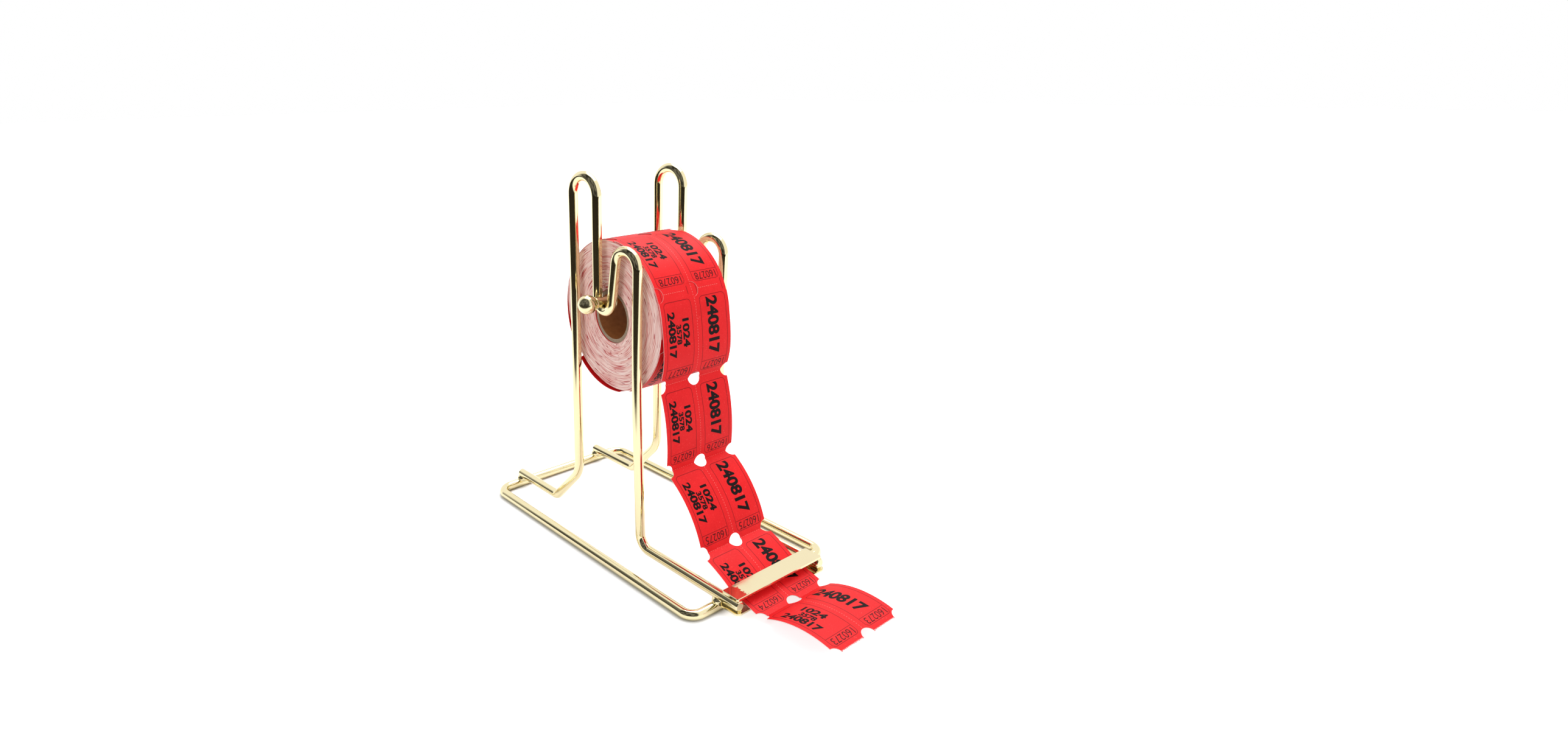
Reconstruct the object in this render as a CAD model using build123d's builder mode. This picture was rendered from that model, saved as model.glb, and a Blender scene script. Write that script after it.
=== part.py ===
from build123d import *
import os
from math import radians, tan

# Counter ticket roll stand: two bent-wire side frames brazed to a wire base loop, a turned axle
# that rests in their saddles and carries a roll of tickets, and the strip of tickets that runs
# down to a slot between two brazed plates. Sizes are in millimetres. X runs along the axle, the
# tickets come out towards -Y, +Z is up, and the origin is the middle of the base loop on the counter.

os.makedirs("parts", exist_ok=True)

# ---------------------------------------------------------------- driving dimensions
# Ticket stock: a two inch square double ticket, with a hole punched at every four-ticket corner.
ticket_w = 50.8
ticket_l = 50.8
paper_t = 0.4
punch_d = 8.7
perforation = 0.25          # opening between two tickets at a folded perforation

# Roll and its cardboard core
roll_d = 90.0
core_bore_d = 26.8
core_wall = 2.3
core_inset = 0.6            # the core's end lies this far inside the paper
core_fit = 0.1              # around the core, inside the paper
wrap_step = 0.4             # how far every other band of wraps stands out of the roll's face
wrap_bands = 6
roll_x = -1.6               # the roll and the strip sit a little to the left on the axle

# Wire
wire_d = 5.8
end_chamfer = 0.5
braze_film = 0.15           # braze between two wires, or a wire and a plate
bead_d = 7.6                # bead of braze round a crossing: at its middle, at its ends, and its height
bead_end_d = 3.6
bead_h = 5.6
bead_fit = 0.03             # around a wire, inside the braze
seam_h = 1.3                # seam of braze along a wire, under the bar and on the plate

# Base loop, measured on the wire's centre line
base_w = 104.3
base_l = 197.2
rear_corner_r = 9.5
front_corner_r = 7.2

# Side frames
frame_side_gap = 3.9        # between the roll's face and the wire
foot_over = 2.1             # foot beyond the rear rail's centre line
kick_run = 26.6             # sloping stretch between foot and rear leg
kick_r = 6.1
leg_kick_z = 35.1
leg_kick_r = 17.7
leg_back = 30.8             # rear leg at its kick, behind the axle
tall_loop_back = 27.0       # rear leg at its top, behind the axle
tall_loop_front = 4.3       # tall loop's front run at its top, behind the axle
tall_loop_z = 222.1
saddle_z = 146.9
front_loop_rear = 12.8      # front loop's rear run at its top, in front of the axle
front_loop_front = 31.2     # front leg at its top, in front of the axle
front_loop_z = 184.3
leg_bow_z = 108.5
leg_bow_y = 28.4            # front leg at half height, in front of the axle
leg_bow_r = 900.0
leg_foot_y = 29.9           # front leg at its foot, in front of the axle
leg_foot_r = 8.3
turn_fill = 0.98            # part of a U-turn's room that its two bends take

# Axle
axle_y = -2.0
rod_d = 6.4
neck_d = 5.2
neck_play = 0.5             # beside the wire, along the axle
saddle_play = 0.8           # beside the neck, in the saddle
seat_gap = 0.15             # under the neck, and under the core
collar_d = 7.0
collar_l = 1.3
shoulder_l = 2.3
spigot_d = 3.6
spigot_l = 4.0
spigot_fit = 0.05
spigot_end = 0.3
knob_d = 11.0
knob_flat_d = 5.6

# Tear bar above the slot and guide plate below it
bar_side = 1.4              # bar beyond the wire's centre
bar_w = 12.0
bar_t = 1.5
bar_corner_r = 1.2
bar_edge = 0.3
rail_gap = 0.2              # between the front rail and either plate
wire_past_bar = 0.4
plate_side = 3.2            # plate beyond the wire's centre
plate_lip = 1.9             # plate's front edge in front of the bar's
plate_t = 1.0
plate_corner_r = 3.0

# Strip of tickets: the fold at the end of each hanging ticket, as a part of the way from the
# roll's front to the slot (run along Y, drop along Z), and the bulge of each ticket's arc
roll_gap = 0.5
strip_top_drop = 3.0
fold_run = (-0.064, 0.039, 0.590)
fold_drop = (0.239, 0.612, 0.905)
bulge = (2.4, 3.1, 5.0, 0.8, 5.2)
mouth_drop = 0.8            # strip below the top of the slot, at the bar's rear edge
out_run = 10.8              # last fold, in front of the bar
out_drop = 4.25             # last fold, below the middle of the slot
end_run = 49.0              # torn end, in front of the last fold
end_rise = 5.2

# ---------------------------------------------------------------- sizes that follow
wire_r = wire_d / 2
frame_x = ticket_w / 2 + frame_side_gap + wire_r
rail_z = wire_r
cross_z = rail_z + wire_d + braze_film
rail_y = base_l / 2
saddle_half = neck_d / 2 + saddle_play + wire_r
axle_z = saddle_z + wire_r + seat_gap + neck_d / 2
core_r = core_bore_d / 2 + core_wall
roll_r = roll_d / 2
roll_z = axle_z + rod_d / 2 + seat_gap - core_bore_d / 2
bar_rear_y = -(rail_y + wire_r + rail_gap)
bar_front_y = bar_rear_y - bar_w
run_end_y = bar_front_y - wire_past_bar
slot_low_z = cross_z - wire_r
slot_high_z = cross_z + wire_r


# ---------------------------------------------------------------- bent wire
def turn_radius(before, first, second, after):
    """Radius of the two equal bends that turn a wire round the short side from first to second."""
    side = Vector(second) - Vector(first)
    into = Vector(first) - Vector(before)
    out = Vector(after) - Vector(second)
    room = tan(radians(into.get_angle(side) / 2)) + tan(radians(side.get_angle(out) / 2))
    return turn_fill * side.length / room


def side_points():
    """Corners of a side frame's centre line in (Y, Z), from the foot's end to the front run's end."""
    return [
        (rail_y + foot_over, cross_z),
        (axle_y + leg_back + kick_run, cross_z),
        (axle_y + leg_back, leg_kick_z),
        (axle_y + tall_loop_back, tall_loop_z),
        (axle_y + tall_loop_front, tall_loop_z),
        (axle_y + saddle_half, saddle_z),
        (axle_y - saddle_half, saddle_z),
        (axle_y - front_loop_rear, front_loop_z),
        (axle_y - front_loop_front, front_loop_z),
        (axle_y - leg_bow_y, leg_bow_z),
        (axle_y - leg_foot_y, cross_z),
        (run_end_y, cross_z),
    ]


corners = side_points()
tall_r = turn_radius(*corners[2:6])
saddle_r = turn_radius(*corners[4:8])
front_r = turn_radius(*corners[6:10])
bend_radii = [kick_r, leg_kick_r, tall_r, tall_r, saddle_r, saddle_r, front_r, front_r, leg_bow_r, leg_foot_r]

for side, name in ((-1, "side_frame_left"), (1, "side_frame_right")):
    frame_plane = Plane.YZ.offset(side * frame_x)
    with BuildPart() as side_frame:
        with BuildLine(frame_plane) as bent_line:
            FilletPolyline(*corners, radius=bend_radii)
        with BuildSketch(Plane(origin=bent_line.line @ 0, z_dir=bent_line.line % 0)):
            Circle(wire_r)
        sweep()
        wire_ends = side_frame.faces().filter_by(GeomType.PLANE)
        chamfer(wire_ends.edges(), end_chamfer)
    side_frame.part.label = name
    export_step(side_frame.part, "parts/" + name + ".step")

# Base loop: one wire bent to a rounded rectangle, its ends butt-welded in the rear rail.
with BuildPart() as base_loop:
    with BuildLine(Plane.XY.offset(rail_z)) as loop_line:
        FilletPolyline(
            (0, rail_y),
            (base_w / 2, rail_y),
            (base_w / 2, -rail_y),
            (0, -rail_y),
            radius=[rear_corner_r, front_corner_r],
        )
    with BuildSketch(Plane(origin=loop_line.line @ 0, z_dir=loop_line.line % 0)):
        Circle(wire_r)
    sweep()
    mirror(about=Plane.YZ)
base_loop.part.label = "base_loop"
export_step(base_loop.part, "parts/base_loop.step")


# ---------------------------------------------------------------- brazed crossings
# A bead is a double cone of braze round the point where two wires cross, hollowed by both wires.
for crossing_y, name in ((rail_y, "braze_beads_rear"), (-rail_y, "braze_beads_front")):
    with BuildPart() as beads:
        for side in (-1, 1):
            bead_middle = (side * frame_x, crossing_y, (rail_z + cross_z) / 2)
            with BuildSketch(Plane(origin=bead_middle, x_dir=(1, 0, 0), z_dir=(0, -1, 0))):
                with BuildLine():
                    Polyline(
                        (0, -bead_h / 2),
                        (0, bead_h / 2),
                        (bead_end_d / 2, bead_h / 2),
                        (bead_d / 2, 0),
                        (bead_end_d / 2, -bead_h / 2),
                        close=True,
                    )
                make_face()
            revolve(axis=Axis(bead_middle, (0, 0, 1)))
        with BuildSketch(Plane.YZ):
            with Locations((crossing_y, rail_z)):
                Circle(wire_r + bead_fit)
        extrude(amount=base_w / 2, both=True, mode=Mode.SUBTRACT)
        with BuildSketch(Plane(origin=(0, crossing_y, cross_z), x_dir=(1, 0, 0), z_dir=(0, -1, 0))):
            with Locations((-frame_x, 0), (frame_x, 0)):
                Circle(wire_r + bead_fit)
        extrude(amount=bead_d, both=True, mode=Mode.SUBTRACT)
        split(bisect_by=Plane((0, bar_rear_y + bead_fit, 0), z_dir=(0, 1, 0)))
    beads.part.label = name
    export_step(beads.part, "parts/" + name + ".step")

# ---------------------------------------------------------------- tear bar and guide plate
bar_middle = (0, (bar_rear_y + bar_front_y) / 2, slot_high_z + braze_film)
with BuildPart() as tear_bar:
    with BuildSketch(Plane(origin=bar_middle)) as bar_outline:
        RectangleRounded(2 * (frame_x + bar_side), bar_w, bar_corner_r)
    extrude(amount=bar_t)
    chamfer(tear_bar.edges().group_by(Axis.Z)[-1], bar_edge)
tear_bar.part.label = "tear_bar"
export_step(tear_bar.part, "parts/tear_bar.step")

plate_w = bar_w + plate_lip
plate_middle = (0, bar_rear_y - plate_w / 2, slot_low_z - braze_film)
with BuildPart() as guide_plate:
    with BuildSketch(Plane(origin=plate_middle)) as plate_outline:
        Rectangle(2 * (frame_x + plate_side), plate_w)
        fillet(plate_outline.vertices().group_by(Axis.Y)[0], plate_corner_r)
    extrude(amount=-plate_t)
guide_plate.part.label = "guide_plate"
export_step(guide_plate.part, "parts/guide_plate.step")

# A seam of braze runs along each wire, under the bar and on the guide plate.
for plate_z, inward, name in (
    (slot_high_z + braze_film, -1, "braze_seams_bar"),
    (slot_low_z - braze_film, 1, "braze_seams_plate"),
):
    with BuildPart() as seams:
        with BuildSketch(Plane(origin=(0, bar_rear_y, plate_z), x_dir=(1, 0, 0), z_dir=(0, -1, 0))):
            with Locations((-frame_x, 0), (frame_x, 0)):
                Rectangle(2 * bar_side, 2 * seam_h)
            with Locations((0, -inward * seam_h)):
                Rectangle(3 * frame_x, 2 * seam_h, mode=Mode.SUBTRACT)
            with Locations((-frame_x, inward * (wire_r + braze_film)), (frame_x, inward * (wire_r + braze_film))):
                Circle(wire_r + bead_fit, mode=Mode.SUBTRACT)
        extrude(amount=bar_w)
    seams.part.label = name
    export_step(seams.part, "parts/" + name + ".step")

# ---------------------------------------------------------------- axle
# A turned rod with a neck for each saddle, a shoulder and a collar outside it, and a spigot that
# the ball knob is pressed on.
neck_in = frame_x - wire_r - neck_play
neck_out = frame_x + wire_r + neck_play
collar_x = neck_out + shoulder_l
knob_x = collar_x + collar_l
with BuildPart() as axle_rod:
    with BuildSketch(Plane.XY.move(Location((0, axle_y, axle_z)))):
        with BuildLine():
            Polyline(
                (0, 0),
                (0, rod_d / 2),
                (neck_in, rod_d / 2),
                (neck_in, neck_d / 2),
                (neck_out, neck_d / 2),
                (neck_out, rod_d / 2),
                (collar_x, rod_d / 2),
                (collar_x, collar_d / 2),
                (knob_x, collar_d / 2),
                (knob_x, spigot_d / 2),
                (knob_x + spigot_l, spigot_d / 2),
                (knob_x + spigot_l, 0),
                close=True,
            )
        make_face()
    revolve(axis=Axis((0, axle_y, axle_z), (1, 0, 0)))
    mirror(about=Plane.YZ)
axle_rod.part.label = "axle_rod"
export_step(axle_rod.part, "parts/axle_rod.step")

# Ball knobs: a ball with a small flat that seats on the collar, bored blind for the spigot.
knob_r = knob_d / 2
flat_r = knob_flat_d / 2
ball_x = knob_x + (knob_r**2 - flat_r**2) ** 0.5
bore_r = spigot_d / 2 + spigot_fit
bore_end = knob_x + spigot_l + spigot_end
for side, name in ((-1, "ball_knob_left"), (1, "ball_knob_right")):
    with BuildPart() as ball_knob:
        with BuildSketch(Plane(origin=(0, axle_y, axle_z), x_dir=(side, 0, 0), z_dir=(0, -side, 0))):
            with BuildLine():
                Polyline((knob_x, flat_r), (knob_x, bore_r), (bore_end, bore_r), (bore_end, 0), (ball_x + knob_r, 0))
                ThreePointArc((knob_x, flat_r), (ball_x, knob_r), (ball_x + knob_r, 0))
            make_face()
        revolve(axis=Axis((0, axle_y, axle_z), (1, 0, 0)))
    ball_knob.part.label = name
    export_step(ball_knob.part, "parts/" + name + ".step")

# ---------------------------------------------------------------- roll
core_plane = Plane.YZ.offset(roll_x - ticket_w / 2 + core_inset)
with BuildPart() as core_tube:
    with BuildSketch(core_plane):
        with Locations((axle_y, roll_z)):
            Circle(core_r)
            Circle(core_bore_d / 2, mode=Mode.SUBTRACT)
    extrude(amount=ticket_w - 2 * core_inset)
core_tube.part.label = "core_tube"
export_step(core_tube.part, "parts/core_tube.step")

# The paper is wound a little unevenly, so its faces rise and fall from one band of wraps to the next.
paper_r = core_r + core_fit
band_t = (roll_r - paper_r) / wrap_bands
crests = [(wrap_step * (band % 2), paper_r + band * band_t) for band in range(wrap_bands + 1)]
with BuildPart() as ticket_roll:
    with BuildSketch(Plane(origin=(roll_x, axle_y, roll_z), x_dir=(1, 0, 0), z_dir=(0, -1, 0))):
        with BuildLine():
            Polyline(
                *[(-ticket_w / 2 - rise, radius) for rise, radius in crests],
                *[(ticket_w / 2 - rise, radius) for rise, radius in reversed(crests)],
                close=True,
            )
        make_face()
    revolve(axis=Axis((0, axle_y, roll_z), (1, 0, 0)))
ticket_roll.part.label = "ticket_roll"
export_step(ticket_roll.part, "parts/ticket_roll.step")

# ---------------------------------------------------------------- strip of tickets
roll_front = Vector(axle_y - roll_r - roll_gap, roll_z)
to_slot = Vector(bar_rear_y, cross_z) - roll_front
folds = [roll_front + Vector(to_slot.X * run, to_slot.Y * drop) for run, drop in zip(fold_run, fold_drop)]
mouth = Vector(bar_rear_y, slot_high_z - mouth_drop)
last_fold = Vector(bar_front_y - out_run, cross_z - out_drop)
torn_end = last_fold + Vector(-end_run, end_rise)
strip = [roll_front - Vector(0, strip_top_drop), *folds, last_fold, torn_end]

for number, (top, bottom) in enumerate(zip(strip, strip[1:]), start=1):
    with BuildPart() as ticket:
        with BuildSketch(Plane.YZ.offset(roll_x)):
            with BuildLine() as run:
                if bottom is last_fold:
                    SagittaArc(top, mouth, -bulge[number - 1])
                    Line(mouth, bottom)
                else:
                    SagittaArc(top, bottom, -bulge[number - 1])
            trace(line_width=paper_t)
        extrude(amount=ticket_w / 2, both=True)
        for end in (0, 1) if number > 1 else (1,):
            fold, along = run.line @ end, run.line % end
            hole_plane = Plane(origin=(roll_x, fold.X, fold.Y), x_dir=(1, 0, 0), z_dir=(0, -along.Y, along.X))
            with BuildSketch(hole_plane):
                with Locations((-ticket_w / 2, 0), (0, 0), (ticket_w / 2, 0)):
                    Circle(punch_d / 2)
                Rectangle(ticket_w, perforation)
            extrude(amount=2 * paper_t, both=True, mode=Mode.SUBTRACT)
    ticket.part.label = "ticket_" + str(number)
    export_step(ticket.part, "parts/ticket_" + str(number) + ".step")
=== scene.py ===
from bisect import bisect_right
from itertools import accumulate
from math import asin, atan2, ceil, cos, pi, radians, sin, sqrt, tan

import bmesh
import bpy
from mathutils import Matrix, Vector, noise
from mathutils.geometry import interpolate_bezier


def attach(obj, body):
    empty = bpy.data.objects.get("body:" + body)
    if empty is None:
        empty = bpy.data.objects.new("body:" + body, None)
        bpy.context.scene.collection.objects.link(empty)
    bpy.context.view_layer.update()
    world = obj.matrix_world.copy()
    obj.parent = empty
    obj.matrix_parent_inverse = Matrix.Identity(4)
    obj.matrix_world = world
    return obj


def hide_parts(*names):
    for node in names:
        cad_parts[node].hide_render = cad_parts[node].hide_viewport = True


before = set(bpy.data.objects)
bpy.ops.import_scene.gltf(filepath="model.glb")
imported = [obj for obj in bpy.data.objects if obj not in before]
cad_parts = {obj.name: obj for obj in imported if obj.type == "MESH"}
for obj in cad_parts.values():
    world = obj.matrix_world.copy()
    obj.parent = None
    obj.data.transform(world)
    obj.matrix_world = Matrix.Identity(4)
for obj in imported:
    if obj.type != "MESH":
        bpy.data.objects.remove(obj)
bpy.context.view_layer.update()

# ------------------------------------------------------------------ base loop
# One brass-plated steel wire bent flat to a rounded rectangle, which stands on the counter. Its
# two ends are butt-welded in the rear rail and ground smooth before plating.
MM = 0.001
WIRE_R = 2.9
RAIL_Y = 98.6
RAIL_X = 52.15
RAIL_Z = WIRE_R
REAR_BEND_R = 9.5
FRONT_BEND_R = 7.2
END_CHAMFER = 0.5
BUTT_CHAMFER = 0.05
WELD_GAP = 0.005
WIRE_SIDES = 40
BEND_STEP = radians(4)
FEWEST_STEPS = 3
SHARP = radians(32)


def linear(code):
    """A colour written as an sRGB hex code, in the linear values that shaders take."""
    parts = [int(code[i : i + 2], 16) / 255 for i in (1, 3, 5)]
    return [c / 12.92 if c <= 0.04045 else ((c + 0.055) / 1.055) ** 2.4 for c in parts] + [1.0]


def add_node(tree, kind, settings=None, links=None):
    """Adds one shader node, sets its inputs or properties, and links its inputs to sockets."""
    node = tree.nodes.new(kind)
    for key, value in (settings or {}).items():
        if isinstance(key, int) or key in node.inputs:
            node.inputs[key].default_value = value
        else:
            setattr(node, key, value)
    for key, socket in (links or {}).items():
        tree.links.new(socket, node.inputs[key])
    return node


def new_material(name, settings):
    """A material with one Principled shader, and its tree and shader for what is added to them."""
    material = bpy.data.materials.new(name)
    material.use_nodes = True
    tree = material.node_tree
    shader = tree.nodes["Principled BSDF"]
    for key, value in settings.items():
        shader.inputs[key].default_value = value
    return material, tree, shader


# Polished brass plate over steel: a pale yellow mirror, with a faint waviness from drawing and
# dipping that breaks up the edges of its reflections, and patches a little dulled by handling.
WAVE_STRENGTH = 0.35
DULL_PATCH = 9
DULLED_BY = 0.05


def brass_plate(name, colour, roughness, wave_length, wave_height):
    """Brass plate whose waves have that length and height in millimetres."""
    material, tree, shader = new_material(name, {"Metallic": 1.0, "Base Color": linear(colour)})
    place = add_node(tree, "ShaderNodeTexCoord").outputs["Object"]
    wave = add_node(
        tree,
        "ShaderNodeTexNoise",
        {"Scale": 1 / (wave_length * MM), "Detail": 2.0},
        {"Vector": place},
    )
    bump = add_node(
        tree,
        "ShaderNodeBump",
        {"Strength": WAVE_STRENGTH, "Distance": wave_height * MM},
        {"Height": wave.outputs["Fac"]},
    )
    dull = add_node(
        tree,
        "ShaderNodeTexNoise",
        {"Scale": 1 / (DULL_PATCH * MM), "Detail": 3.0},
        {"Vector": place},
    )
    spread = add_node(
        tree,
        "ShaderNodeMapRange",
        {"From Min": 0.35, "From Max": 0.7, "To Min": roughness, "To Max": roughness + DULLED_BY},
        {"Value": dull.outputs["Fac"]},
    )
    tree.links.new(spread.outputs["Result"], shader.inputs["Roughness"])
    tree.links.new(bump.outputs["Normal"], shader.inputs["Normal"])
    return material


wire_brass = brass_plate("brass_plated_wire", "#F7EABD", 0.08, 9.0, 0.05)


def bend_wire(corners, radii, chamfer=END_CHAMFER):
    """A round section pushed along each straight run of a wire and spun round each bend."""
    points = [Vector(c) for c in corners]
    ways = [(b - a).normalized() for a, b in zip(points, points[1:])]
    bm = bmesh.new()
    bmesh.ops.create_circle(
        bm,
        segments=WIRE_SIDES,
        radius=WIRE_R - chamfer,
        cap_ends=True,
        matrix=Matrix.Translation(points[0]) @ ways[0].to_track_quat("Z", "Y").to_matrix().to_4x4(),
    )

    def push(edges, offset, grow=1.0, about=None):
        """Extrudes a ring of edges by an offset, grown about a point where one is given."""
        made = bmesh.ops.extrude_edge_only(bm, edges=edges)["geom"]
        verts = [g for g in made if isinstance(g, bmesh.types.BMVert)]
        if about is not None:
            centred = Matrix.Translation(-about)
            bmesh.ops.scale(bm, vec=(grow, grow, grow), verts=verts, space=centred)
        bmesh.ops.translate(bm, vec=offset, verts=verts)
        lines = [g for g in made if isinstance(g, bmesh.types.BMEdge)]
        return [line for line in lines if line.verts[0] in verts and line.verts[1] in verts]

    edges = push(bm.edges[:], ways[0] * chamfer, WIRE_R / (WIRE_R - chamfer), points[0])
    here = points[0] + ways[0] * chamfer
    for corner, before, after, radius in zip(points[1:-1], ways, ways[1:], radii):
        angle = before.angle(after)
        start = corner - before * radius * tan(angle / 2)
        edges = push(edges, start - here)
        axis = before.cross(after).normalized()
        spun = bmesh.ops.spin(
            bm,
            geom=edges,
            cent=start + axis.cross(before) * radius,
            axis=axis,
            angle=angle,
            steps=max(FEWEST_STEPS, ceil(angle / BEND_STEP)),
        )["geom_last"]
        edges = [g for g in spun if isinstance(g, bmesh.types.BMEdge)]
        here = corner + after * radius * tan(angle / 2)
    full_end = points[-1] - ways[-1] * chamfer
    edges = push(edges, full_end - here)
    edges = push(edges, ways[-1] * chamfer, 1 - chamfer / WIRE_R, full_end)
    bmesh.ops.edgeloop_fill(bm, edges=edges)
    return bm


def place_piece(name, bm, materials, body, stands_for=(), sharp=SHARP):
    bmesh.ops.scale(bm, vec=(MM, MM, MM), verts=bm.verts)
    for face in bm.faces:
        face.smooth = True
    mesh = bpy.data.meshes.new(name)
    bm.to_mesh(mesh)
    bm.free()
    mesh.set_sharp_from_angle(angle=sharp)
    piece = bpy.data.objects.new(name, mesh)
    bpy.context.scene.collection.objects.link(piece)
    for material in materials:
        mesh.materials.append(material)
    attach(piece, body)
    if stands_for:
        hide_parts(*stands_for)
    return piece


base = bend_wire(
    [
        (0, RAIL_Y, RAIL_Z),
        (RAIL_X, RAIL_Y, RAIL_Z),
        (RAIL_X, -RAIL_Y, RAIL_Z),
        (-RAIL_X, -RAIL_Y, RAIL_Z),
        (-RAIL_X, RAIL_Y, RAIL_Z),
        (0, RAIL_Y, RAIL_Z),
    ],
    [REAR_BEND_R, FRONT_BEND_R, FRONT_BEND_R, REAR_BEND_R],
    chamfer=BUTT_CHAMFER,
)
# The two ends lose their caps and are merged, so the loop is closed.
butted = [face for face in base.faces if len(face.verts) == WIRE_SIDES]
bmesh.ops.delete(base, geom=butted, context="FACES_ONLY")
bmesh.ops.remove_doubles(base, verts=base.verts, dist=WELD_GAP)
bmesh.ops.recalc_face_normals(base, faces=base.faces)
place_piece("base_wire", base, [wire_brass], "stand", ["base_loop"])

# ------------------------------------------------------------------ side frames
# Each side is one length of the same wire, bent in a jig and brazed to the rails before plating:
# foot, leaning rear leg, tall loop, open saddle for the axle, front loop, front leg and the run
# that carries the tear bar.
FRAME_X = 32.2
AXLE_Y = -2.0
BRAZE_GAP = 0.15
CROSS_Z = RAIL_Z + 2 * WIRE_R + BRAZE_GAP
KINK_Z = 35.1
TALL_Z = 222.1
SADDLE_Z = 146.9
FRONT_Z = 184.3
BOW_Z = 108.5
TURN_FILL = 0.98
HEEL_R = 6.1
KINK_R = 17.7
BOW_R = 900.0
ANKLE_R = 8.3
BAR_GAP = 0.2
BAR_DEPTH = 12.0
bar_rear_y = -(RAIL_Y + WIRE_R + BAR_GAP)
bar_front_y = bar_rear_y - BAR_DEPTH
side_corners = [
    (RAIL_Y + 2.1, CROSS_Z),  # the foot's end, past the rear rail
    (AXLE_Y + 57.4, CROSS_Z),  # heel
    (AXLE_Y + 30.8, KINK_Z),
    (AXLE_Y + 27.0, TALL_Z),
    (AXLE_Y + 4.3, TALL_Z),
    (AXLE_Y + 6.3, SADDLE_Z),
    (AXLE_Y - 6.3, SADDLE_Z),
    (AXLE_Y - 12.8, FRONT_Z),
    (AXLE_Y - 31.2, FRONT_Z),
    (AXLE_Y - 28.4, BOW_Z),
    (AXLE_Y - 29.9, CROSS_Z),  # ankle
    (bar_front_y - 0.4, CROSS_Z),  # the run's end, just past the bar
]


def turn_radius(before, first, second, after):
    """The radius of the two equal bends that turn a wire back round the side first to second."""
    side = Vector(second) - Vector(first)
    into = Vector(first) - Vector(before)
    out = Vector(after) - Vector(second)
    return TURN_FILL * side.length / (tan(into.angle(side) / 2) + tan(side.angle(out) / 2))


tall_r = turn_radius(*side_corners[2:6])
saddle_r = turn_radius(*side_corners[4:8])
front_r = turn_radius(*side_corners[6:10])
loop_radii = [tall_r, tall_r, saddle_r, saddle_r, front_r, front_r]
side_radii = [HEEL_R, KINK_R, *loop_radii, BOW_R, ANKLE_R]
for side, name in ((-1, "left"), (1, "right")):
    wire = bend_wire([(side * FRAME_X, y, z) for y, z in side_corners], side_radii)
    bmesh.ops.recalc_face_normals(wire, faces=wire.faces)
    frame_node = ["side_frame_" + name]
    place_piece("side_wire_" + name, wire, [wire_brass], "stand", frame_node)

# ------------------------------------------------------------------ brazed joints
# Where a side wire crosses a rail, the brazing metal has run into the crevice round the crossing
# and left a smooth fillet that was plated with the rest.
SKIN_SINK = 0.1
RAIL_SKIN = 9.2
REAR_SKIN = (-4.6, 1.4)  # along the side wire, from the rail's middle
FRONT_SKIN = (-2.9, 4.6)
POOL_R = 3.7
POOL_SHAPE = (1.2, 1, 0.72, 1)
MELT_SIZE = 0.3
FLOW_PASSES = 8


def braze_rod(bm, centre, turn, length):
    """The skin of braze round one stretch of wire, a little inside the wire at its ends."""
    bmesh.ops.create_cone(
        bm,
        cap_ends=True,
        segments=32,
        radius1=WIRE_R - SKIN_SINK,
        radius2=WIRE_R - SKIN_SINK,
        depth=length,
        matrix=Matrix.Translation(centre) @ turn,
    )


for name, rail_y, skin in (("rear", RAIL_Y, REAR_SKIN), ("front", -RAIL_Y, FRONT_SKIN)):
    skin_from, skin_to = rail_y + skin[0], rail_y + skin[1]
    joint = bmesh.new()
    for side in (-1, 1):
        middle = Vector((side * FRAME_X, rail_y, (RAIL_Z + CROSS_Z) / 2))
        braze_rod(joint, (middle.x, rail_y, RAIL_Z), Matrix.Rotation(pi / 2, 4, "Y"), RAIL_SKIN)
        skin_middle = (middle.x, (skin_from + skin_to) / 2, CROSS_Z)
        braze_rod(joint, skin_middle, Matrix.Rotation(pi / 2, 4, "X"), skin_to - skin_from)
        pool = Matrix.Translation(middle) @ Matrix.Diagonal(POOL_SHAPE)
        bmesh.ops.create_uvsphere(joint, u_segments=32, v_segments=16, radius=POOL_R, matrix=pool)
    beads = ["braze_beads_" + name]
    fillet = place_piece("braze_" + name, joint, [wire_brass], "stand", beads, sharp=pi)
    fillet.modifiers.new("melt", "REMESH").voxel_size = MELT_SIZE * MM
    flow = fillet.modifiers.new("flow", "SMOOTH")
    flow.factor = 0.5
    flow.iterations = FLOW_PASSES

# ------------------------------------------------------------------ tear bar and guide plate
# Two strips of steel sheet, brazed across the runs and plated with them: the upper one is the
# edge that tickets are torn against, and the lower one keeps the strip from sagging out of the
# slot.
plate_brass = brass_plate("brass_plated_sheet", "#F5E7BE", 0.08, 20.0, 0.04)
braze_brass = brass_plate("brass_plated_seam", "#EFDFA8", 0.12, 3.0, 0.12)

# The bar's left end dips to the back a little, up to a ragged edge, so it mirrors the red strip.
DIP_SLOPE = -0.14
RAGGED_GRAIN = 2.4
RAGGED_REACH = 12
DIP_STARTS = -19.4
DIP_FULL = -20.0
tree, shader = plate_brass.node_tree, plate_brass.node_tree.nodes["Principled BSDF"]
level_plate = shader.inputs["Normal"].links[0].from_socket
place = add_node(tree, "ShaderNodeTexCoord").outputs["Object"]
spot = add_node(tree, "ShaderNodeSeparateXYZ", {}, {0: place})
ragged = add_node(
    tree,
    "ShaderNodeTexNoise",
    {"Scale": 1 / (RAGGED_GRAIN * MM), "Detail": 5.0, "Roughness": 0.75},
    {"Vector": place},
)
shifted = add_node(
    tree,
    "ShaderNodeMath",
    {"operation": "MULTIPLY_ADD", 1: RAGGED_REACH * MM},
    {0: ragged.outputs["Fac"], 2: spot.outputs["X"]},
)
at_end = add_node(
    tree,
    "ShaderNodeMapRange",
    {"From Min": DIP_STARTS * MM, "From Max": DIP_FULL * MM},
    {"Value": shifted.outputs["Value"]},
)
dip = add_node(
    tree, "ShaderNodeMath", {"operation": "MULTIPLY", 1: DIP_SLOPE}, {0: spot.outputs["Y"]}
)
dipped = add_node(
    tree,
    "ShaderNodeBump",
    {"Strength": 1.0, "Distance": 1.0},
    {"Height": dip.outputs["Value"], "Normal": level_plate},
)
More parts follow.
